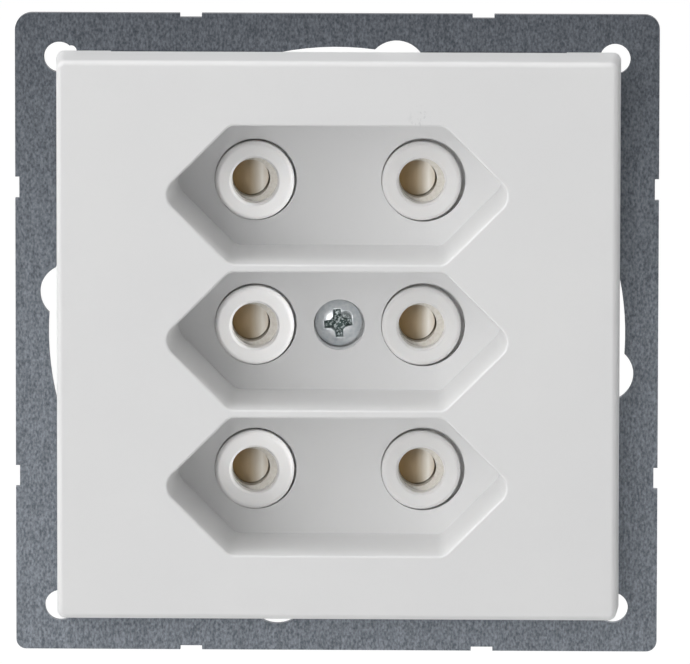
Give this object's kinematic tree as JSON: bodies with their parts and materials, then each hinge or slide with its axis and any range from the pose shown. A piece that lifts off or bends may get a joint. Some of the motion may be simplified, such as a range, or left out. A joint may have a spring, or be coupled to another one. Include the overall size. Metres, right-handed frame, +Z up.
{
  "type": "wall socket",
  "caption": "Flush wall socket insert with hexagonal recesses for flat two-pin plugs in a square cover on a punched steel support frame.",
  "frame": {"origin": "centre of the support frame's back face, on the wall plane", "axes": "+X to the right seen from the room, +Y into the wall, +Z up"},
  "size_m": [0.071, 0.0344, 0.071],
  "materials": {
    "cover_white": "satin moulded",
    "housing_white": "moulded",
    "carrier_cream": "moulded thermoset",
    "zinc_sheet": "zinc coated",
    "contact_brass": "rolled",
    "zinc_screw": "bright zinc"
  },
  "bodies": {
    "root": {"clamp_plate_left": "zinc_screw", "clamp_plate_right": "zinc_screw", "contact_carrier": "carrier_cream", "contact_rail_left": "contact_brass", "contact_rail_right": "contact_brass", "contact_sleeve_bottom_left": "contact_brass", "contact_sleeve_bottom_right": "contact_brass", "contact_sleeve_middle_left": "contact_brass", "contact_sleeve_middle_right": "contact_brass", "contact_sleeve_top_left": "contact_brass", "contact_sleeve_top_right": "contact_brass", "cover": "cover_white", "cover_screw": "zinc_screw", "frame_rivets": "zinc_screw", "front_housing": "housing_white", "housing_screws": "zinc_screw", "rear_housing": "housing_white", "support_frame": "zinc_sheet", "terminal_screw_left": "zinc_screw", "terminal_screw_right": "zinc_screw", "threaded_bush": "contact_brass"}
  },
  "joints": []
}
